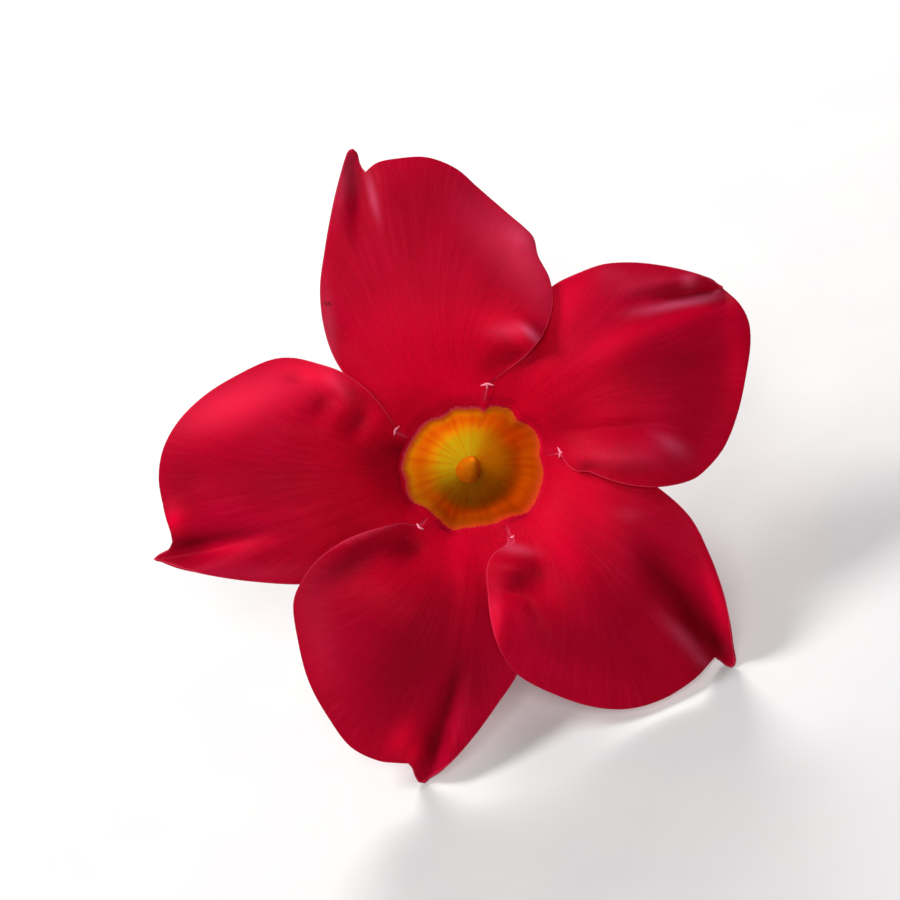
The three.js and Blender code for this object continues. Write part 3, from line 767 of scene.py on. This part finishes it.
def petal_piece(name, petal, material):
    lines, share, middle_angle = petal_lines(petal)
    plan = resampled(lines, PETAL_ROWS)
    outline = np.vstack([plan[:0:-1, 0], plan[-1], plan[-2::-1, -1]])
    edge = nearest(plan, outline)[0]
    radius = np.hypot(plan[..., 0], plan[..., 1])
    wave = smoothstep(11, 20, radius) * bell(edge, 2.2) * ripple(share * 14, sum(map(ord, name)))
    vein = smoothstep(10, 15, radius) * smoothstep(0.2, 1.5, edge) * ripple(share * 95, 3)
    height = petal_height(petal, plan, middle_angle) + 0.28 * wave + 0.014 * vein
    middle = shape_mouth(np.dstack([plan, height]))
    half = PETAL_HALF_WALL * rounded(edge, 0.3) * smoothstep(PETAL_START, 9.0, radius)
    points, faces, inner = leaf_mesh(middle, half)

    values = {"radius": both_sides(radius, inner), "edge": both_sides(edge, inner)}
    values["back"] = np.arange(len(points)) >= inner.size
    # The patches of painted sheen, painted shade and painted light, kept on the points.
    for tint in ("painted_sheen_and_pale_marks", "painted_shade", "blush_and_painted_light"):
        values[tint] = both_sides(patches(plan, petal[tint]), inner)
    values["tear"] = both_sides(patches(plan, [TEAR]), inner)
    uv = both_sides(np.dstack(np.broadcast_arrays(share[None, :], PETAL_ROWS[:, None])), inner)
    make_piece(name + "_soft", points, faces, material, [name], uv, values)


# --- throat and tube ---
# The inside of the tube as (height, radius) from the calyx up to the lip, and the outside back down.
INSIDE = [(-41.6, 1.5), (-34, 1.55), (-28, 1.6), (-23, 1.2), (-20.9, 1.0), (-19.7, 1.35), (-18.2, 2.35),
          (-15, 3.95), (-11, 4.75), (-6, 5.85), (-3.0, 6.65), (-1.05, 7.4), (-0.2, 7.95), (0.12, LIP_SIZE)]
OUTSIDE = [(0.45, 9.45), (-0.5, 8.9), (-2.5, 7.7), (-6, 6.4), (-11, 5.25), (-16, 4.3), (-20, 3.6),
           (-24, 2.85), (-28, 2.35), (-34, 2.15), (-39, 2.25), (-41.6, 2.3)]
COLLAR_END = 9.5  # the red collar round the lip sinks into the petals here
# Painted shade: purplish dark patches just outside the lip, below it on the left and on the right.
LIP_PAINTED_SHADE = [(-3.8, -7.5, 0.7, 1.6, 0.7, -35), (4.9, -6.9, 0.65, 2.0, 0.7, 35),
            (-7.9, -4.4, 0.5, 1.3, 0.6, -55)]
TUBE_AROUND = 288


def collar():
    """The red collar from the lip outwards, just proud of the petals, as (height, radius)."""
    radius = np.linspace(LIP_SIZE + 0.06, COLLAR_END, 16)
    proud = 0.27 - 0.2 * smoothstep(8.6, COLLAR_END, radius)
    top = np.stack([trumpet_height(radius) + proud, radius], axis=1)
    turn_under = np.array([[top[-1, 0] - 0.12, COLLAR_END - 0.05]])
    return np.vstack([top, turn_under])


def closed_tube_faces(rows, around):
    """Quads of a grid that closes on itself both ways."""
    index = np.arange(rows * around).reshape(rows, around)
    step = np.roll(index, -1, axis=1)
    below = np.roll(index, -1, axis=0)
    below_step = np.roll(below, -1, axis=1)
    return np.stack([index, below, below_step, step], axis=-1).reshape(-1, 4)


def tube_piece(material):
    inside = along(spline(INSIDE), np.linspace(0, 1, 84))
    shelf = collar()
    outside = along(spline([tuple(shelf[-1])] + OUTSIDE), np.linspace(0, 1, 70)[1:])
    z, r = np.vstack([inside, shelf, outside]).T[:, :, None]
    is_outside = (np.arange(len(z)) >= len(inside) + len(shelf)).astype(float)[:, None]
    turn = round_angles(TUBE_AROUND)[None, :]
    full = np.zeros((len(z), TUBE_AROUND))

    uneven = 1.6 * np.sin(3 * turn) + 1.1 * np.sin(5 * turn + 1)
    rib = np.cos(34 * turn + uneven) + 0.7 * np.cos(13 * turn + 2)
    ribbed = smoothstep(-22, -13, z) * (1 - smoothstep(-2.0, 0.0, z)) * (1 - is_outside)
    ridge = np.cos(5 * turn + 0.4) ** 2 * is_outside * smoothstep(-2, -9, z)
    radius = r + 0.05 * rib * ribbed + 0.12 * ridge
    grid = shape_mouth(np.dstack([radius * np.cos(turn), radius * np.sin(turn), z + full]))

    def towards(degrees, low, high):
        return smoothstep(low, high, np.cos(turn - math.radians(degrees))) + full

    past_lip = smoothstep(LIP_SIZE - 0.1, LIP_SIZE + 0.2, r) * (1 - is_outside)
    values = {
        "depth": full - z,
        "outside": full + is_outside,
        "past_lip": full + np.where(is_outside > 0, 2.0, r - LIP_SIZE),
        # Where the throat's painted shade falls: below and to the right.
        "low": towards(-82, -0.1, 0.95),
        "right": towards(0, -0.15, 0.9),
        "rib": full + np.clip(rib / 3.4 + 0.5, 0, 1),
        # The painted shade outside the lip.
        "painted_shade": patches(grid[..., :2], LIP_PAINTED_SHADE) * past_lip,
    }
    uv = np.dstack(np.broadcast_arrays(turn / (2 * np.pi), -z / 40)).reshape(-1, 2)
    faces = closed_tube_faces(*full.shape)
    points = grid.reshape(-1, 3)
    make_piece("throat_and_tube", points, faces, material, ["corolla_tube"], uv, values)


# --- stamens ---
# The anthers lean together as a cone from a ring of feet to a ring of tips.
ANTHERS = {"foot": (-0.6, -0.9, -19.6), "apex": (0.1, 0.85, -13.2), "foot_ring": 1.0, "tip_ring": 0.1}
ANTHER = {"half_width": 0.95, "half_depth": 0.66, "bow": 0.14, "groove": 0.08}
FILAMENT = {"radius": 0.2, "drop": 1.6, "wall": 2.15}  # it drops from the foot to the wall, this far out


def anther_rings(foot, tip, out, side, shares, phase):
    """Rings up a bluntly pointed anther, with a shallow groove down its outer face."""
    groove = 1 - ANTHER["groove"] * bell(np.angle(np.exp(1j * phase)), 0.3)
    rings = []
    for t in shares:
        full = smoothstep(0, 0.09, t) ** 0.5 * (0.03 + 0.97 * math.sqrt(1 - t ** 2.4))
        middle = foot + (tip - foot) * t + out * ANTHER["bow"] * math.sin(math.pi * t)
        deep = np.cos(phase) * ANTHER["half_depth"] * full * groove
        wide = np.sin(phase) * ANTHER["half_width"] * full * groove
        rings.append(middle + np.outer(deep, out) + np.outer(wide, side))
    return np.array(rings)


def filament_rings(foot, out, side, phase):
    """Rings along the short filament, from inside the anther's foot to the tube's wall."""
    start = foot + np.array([0, 0, 0.3])
    end = np.array([0, 0, foot[2] - FILAMENT["drop"]]) + out * FILAMENT["wall"]
    path = along(spline([start, (start + end) / 2 + out * 0.2, end]), np.linspace(0, 1, 9))
    ring = np.outer(np.cos(phase), [0, 0, 1]) + np.outer(np.sin(phase), side)
    return np.array([point + ring * FILAMENT["radius"] for point in path])[:, ::-1]


def stamen_piece(number, material):
    turn = math.radians(90 - 72 * (number - 1) + 20)
    out = np.array([math.cos(turn), math.sin(turn), 0])
    side = np.array([-math.sin(turn), math.cos(turn), 0])
    foot = np.array(ANTHERS["foot"]) + out * ANTHERS["foot_ring"]
    tip = np.array(ANTHERS["apex"]) + out * ANTHERS["tip_ring"]
    phase = round_angles(28)
    shares = np.concatenate([[0.0, 0.015, 0.04], np.linspace(0.08, 1, 26)])
    anther = loft_mesh(anther_rings(foot, tip, out, side, shares, phase))
    filament = loft_mesh(filament_rings(foot, out, side, phase))
    points, faces = join([anther, filament])
    height = np.concatenate([np.repeat(shares, len(phase)), [0, 1], -np.ones(len(filament[0]))])
    make_piece(f"stamen_{number}_soft", points, faces, material, [f"stamen_{number}"],
               values={"tip": height})


# --- calyx and stalk ---
SEPAL = {"length": 8.6, "half_width": 1.35, "half_wall": 0.2, "inside": 2.75, "base": -41.7}
STALK = {"top": -42.0, "bow": 0.012, "around": 40}  # it bows by this much times its length squared
# The stalk as (distance below its top, radius): the calyx's cup, and then the plain stalk to its cut end.
STALK_PROFILE = [(0, 1.2), (0.05, 1.95), (0.4, 2.12), (0.9, 1.75), (1.6, 1.25), (2.6, 0.98), (5.0, 0.9),
                 (8.0, 0.89), (9.35, 0.9), (9.55, 0.87), (9.6, 0.8)]


def sepal_piece(number, material):
    turn = math.radians(54 - 72 * (number - 1))
    t = np.linspace(0, 1, 44)[:, None]
    v = np.linspace(-1, 1, 19)[None, :]
    width = SEPAL["half_width"] * (0.78 + 0.5 * t) * np.clip(1 - t ** 1.9, 0, 1) ** 0.9 + 0.03
    lean = SEPAL["inside"] + (1.25 + 0.12 * number) * t ** 2.2 - 0.25 * np.sin(np.pi * t)
    keel = 0.14 * bell(v, 0.25) * (1 - t)
    out = lean + keel + 0.16 * v ** 2 * t
    bend = 0.3 * math.sin(number * 2.1) * t ** 2
    angle = turn + width * v / SEPAL["inside"] + bend / 3
    height = SEPAL["base"] + SEPAL["length"] * t + 0 * v
    grid = np.dstack([out * np.cos(angle), out * np.sin(angle), height])

    rim = (1 - np.abs(v)) * width
    inset = np.minimum(rim, np.minimum(t, 1 - t) * SEPAL["length"])
    points, faces, inner = leaf_mesh(grid, SEPAL["half_wall"] * rounded(inset, 0.35) * (1 - 0.5 * t))
    blush_and_painted_light = 0.9 * t ** 3 + 0.25 * bell(v, 0.4) * t
    values = {"rim": both_sides(rim, inner), "blush_and_painted_light": both_sides(blush_and_painted_light, inner)}
    make_piece(f"sepal_{number}_soft", points, faces, material, [f"sepal_{number}"], values=values)


def stalk_ring(below, radius, phase):
    """One faintly ridged ring of the stalk, in order for a loft that runs down it."""
    ridged = radius * (1 + 0.035 * np.cos(5 * phase + 0.3 * below) + 0.015 * np.cos(11 * phase - 0.5 * below))
    x = ridged * np.cos(phase)
    y = ridged * np.sin(phase) + STALK["bow"] * below ** 2
    return np.stack([x, y, np.full(len(phase), STALK["top"] - below)], axis=1)[::-1]


def stalk_piece(material):
    profile = along(spline(STALK_PROFILE), np.linspace(0, 1, 70))
    phase = round_angles(STALK["around"])
    points, faces = loft_mesh(np.array([stalk_ring(below, radius, phase) for below, radius in profile]))
    blush = np.repeat(0.25 * smoothstep(3, 9, profile[:, 0]), len(phase))
    values = {"blush_and_painted_light": np.concatenate([blush, [0, 0]]), "rim": np.ones(len(points))}
    make_piece("stalk", points, faces, material, ["pedicel"], values=values)


# --- the pale folds in the sinuses ---
# Each fold as its middle on the face, and the ends of its arms.
SINUS_FOLDS = [
    ((1.7, 9.95), [(0.85, 9.7), (2.5, 9.75), (1.6, 9.3)]),
    ((10.4, 1.75), [(10.05, 2.4), (10.9, 1.75), (10.2, 1.1)]),
    ((4.8, -8.35), [(4.25, -8.5), (5.1, -7.8)]),
    ((-6.4, -7.25), [(-6.75, -6.7), (-5.85, -7.45)]),
    ((-9.35, 4.4), [(-8.75, 4.95), (-9.4, 3.75)]),
]
FOLD = {"size": 0.13, "lift": 0.42, "flat": 1.25}


def fold_rings(centre, end, phase):
    """Rings along one arm, which lies on the petals and tapers to its end."""
    direction = unit(np.array([end[0] - centre[0], end[1] - centre[1], 0.0]))
    side = np.array([-direction[1], direction[0], 0.0])
    rings = []
    for t in np.linspace(0, 1, 14):
        x, y = np.array(centre) * (1 - t) + np.array(end) * t
        middle = np.array([x, y, trumpet_height(np.hypot(x, y)) + FOLD["lift"]])
        size = FOLD["size"] * math.sqrt(max(1e-3, 1 - (2 * t - 0.8) ** 2 / 1.5)) * (1 - 0.55 * t)
        wide = np.outer(np.cos(phase) * size * FOLD["flat"], side)
        rings.append(middle + wide + np.outer(np.sin(phase) * size, [0, 0, 1]))
    return np.array(rings)


def folds_piece(material):
    phase = round_angles(10)
    arms = [loft_mesh(fold_rings(centre, end, phase)) for centre, ends in SINUS_FOLDS for end in ends]
    points, faces = join(arms)
    make_piece("sinus_folds", points, faces, material, None)


# --- build ---
petal_look = petal_material()
for petal_name, shape in PETALS.items():
    petal_piece(petal_name, shape, petal_look)
tube_piece(throat_material())
anther_look = anther_material()
for n in range(1, 6):
    stamen_piece(n, anther_look)
sepal_look = green_material("sepal", rgb(112, 140, 58), rgb(74, 104, 34), rgb(150, 60, 50))
for n in range(1, 6):
    sepal_piece(n, sepal_look)
stalk_piece(green_material("stalk", rgb(126, 148, 66), rgb(88, 114, 40), rgb(148, 74, 54)))
folds_piece(fold_material())
nodes["pistil"].data.materials.clear()
nodes["pistil"].data.materials.append(pistil_material())

# --- surface, light and camera ---
FLOOR_HALF = 4.0  # metres
SENSOR = 36  # millimetres
CAMERA = {"distance": 0.32, "width_seen": 0.108}  # metres to the face, and across the picture there
PICTURE_MIDDLE = (-2.76, 2.04)  # where the picture's middle lies on the face, in blossom millimetres
WORLD_COLOUR, WORLD_STRENGTH = (0.93, 0.95, 1.0, 1), 0.18
# Each light as (name, direction in blossom axes, metres away, metres across, watts, colour).
LIGHTS = [
    ("key", (-0.76, 0.5, 0.42), 0.7, 0.3, 5.8, (1.0, 0.98, 0.95)),
    ("front", (-0.12, 0.12, 1.0), 0.6, 0.2, 2.3, (1.0, 0.99, 0.98)),
    ("back", (-0.25, 0.85, -0.42), 0.6, 0.3, 5.2, (1.0, 0.98, 0.95)),
]


def floor_material():
    tree = Tree("pale_floor")
    grain = tree.noise(tree.add("ShaderNodeTexCoord").outputs["Object"], 60.0, 3.0)
    colour = tree.over(rgb(179, 179, 180), rgb(176, 176, 178), grain, 0.3, 0.7)
    surface = tree.add("ShaderNodeBsdfPrincipled", Base_Color=colour, Roughness=0.9)
    surface.inputs["Specular IOR Level"].default_value = 0.1
    return tree.finish(surface.outputs[0])


def make_floor():
    h = FLOOR_HALF
    mesh = bpy.data.meshes.new("table_top")
    mesh.from_pydata([(-h, -h, 0), (h, -h, 0), (h, h, 0), (-h, h, 0)], [], [(0, 1, 2, 3)])
    mesh.materials.append(floor_material())
    floor = bpy.data.objects.new("table_top", mesh)
    bpy.context.scene.collection.objects.link(floor)


def area_light(name, towards, distance, size, power, colour):
    """A soft round light, aimed at the throat's mouth."""
    direction = FLOWER @ (np.array(towards) / np.linalg.norm(towards))
    light = bpy.data.lights.new(name, "AREA")
    light.shape = "DISK"
    light.size = size
    light.energy = power
    light.color = colour
    lamp = bpy.data.objects.new(name, light)
    lamp.location = MOUTH + direction * distance
    lamp.rotation_euler = Vector(-direction).to_track_quat("-Z", "Y").to_euler()
    bpy.context.scene.collection.objects.link(lamp)


def make_camera():
    """The camera looks straight down the throat's axis, as in the photograph."""
    data = bpy.data.cameras.new("camera")
    data.sensor_width = SENSOR
    data.lens = SENSOR * CAMERA["distance"] / CAMERA["width_seen"]
    camera = bpy.data.objects.new("camera", data)
    place = to_row([*PICTURE_MIDDLE, CAMERA["distance"] / MM])
    camera.matrix_world = Matrix.Translation(place) @ Matrix(FLOWER.tolist()).to_4x4()
    bpy.context.scene.collection.objects.link(camera)
    bpy.context.scene.camera = camera


def make_world():
    world = bpy.data.worlds.new("studio")
    world.use_nodes = True
    background = world.node_tree.nodes["Background"]
    background.inputs["Color"].default_value = WORLD_COLOUR
    background.inputs["Strength"].default_value = WORLD_STRENGTH
    bpy.context.scene.world = world


make_floor()
for settings in LIGHTS:
    area_light(*settings)
make_world()
make_camera()
bpy.context.scene.view_settings.view_transform = "Standard"
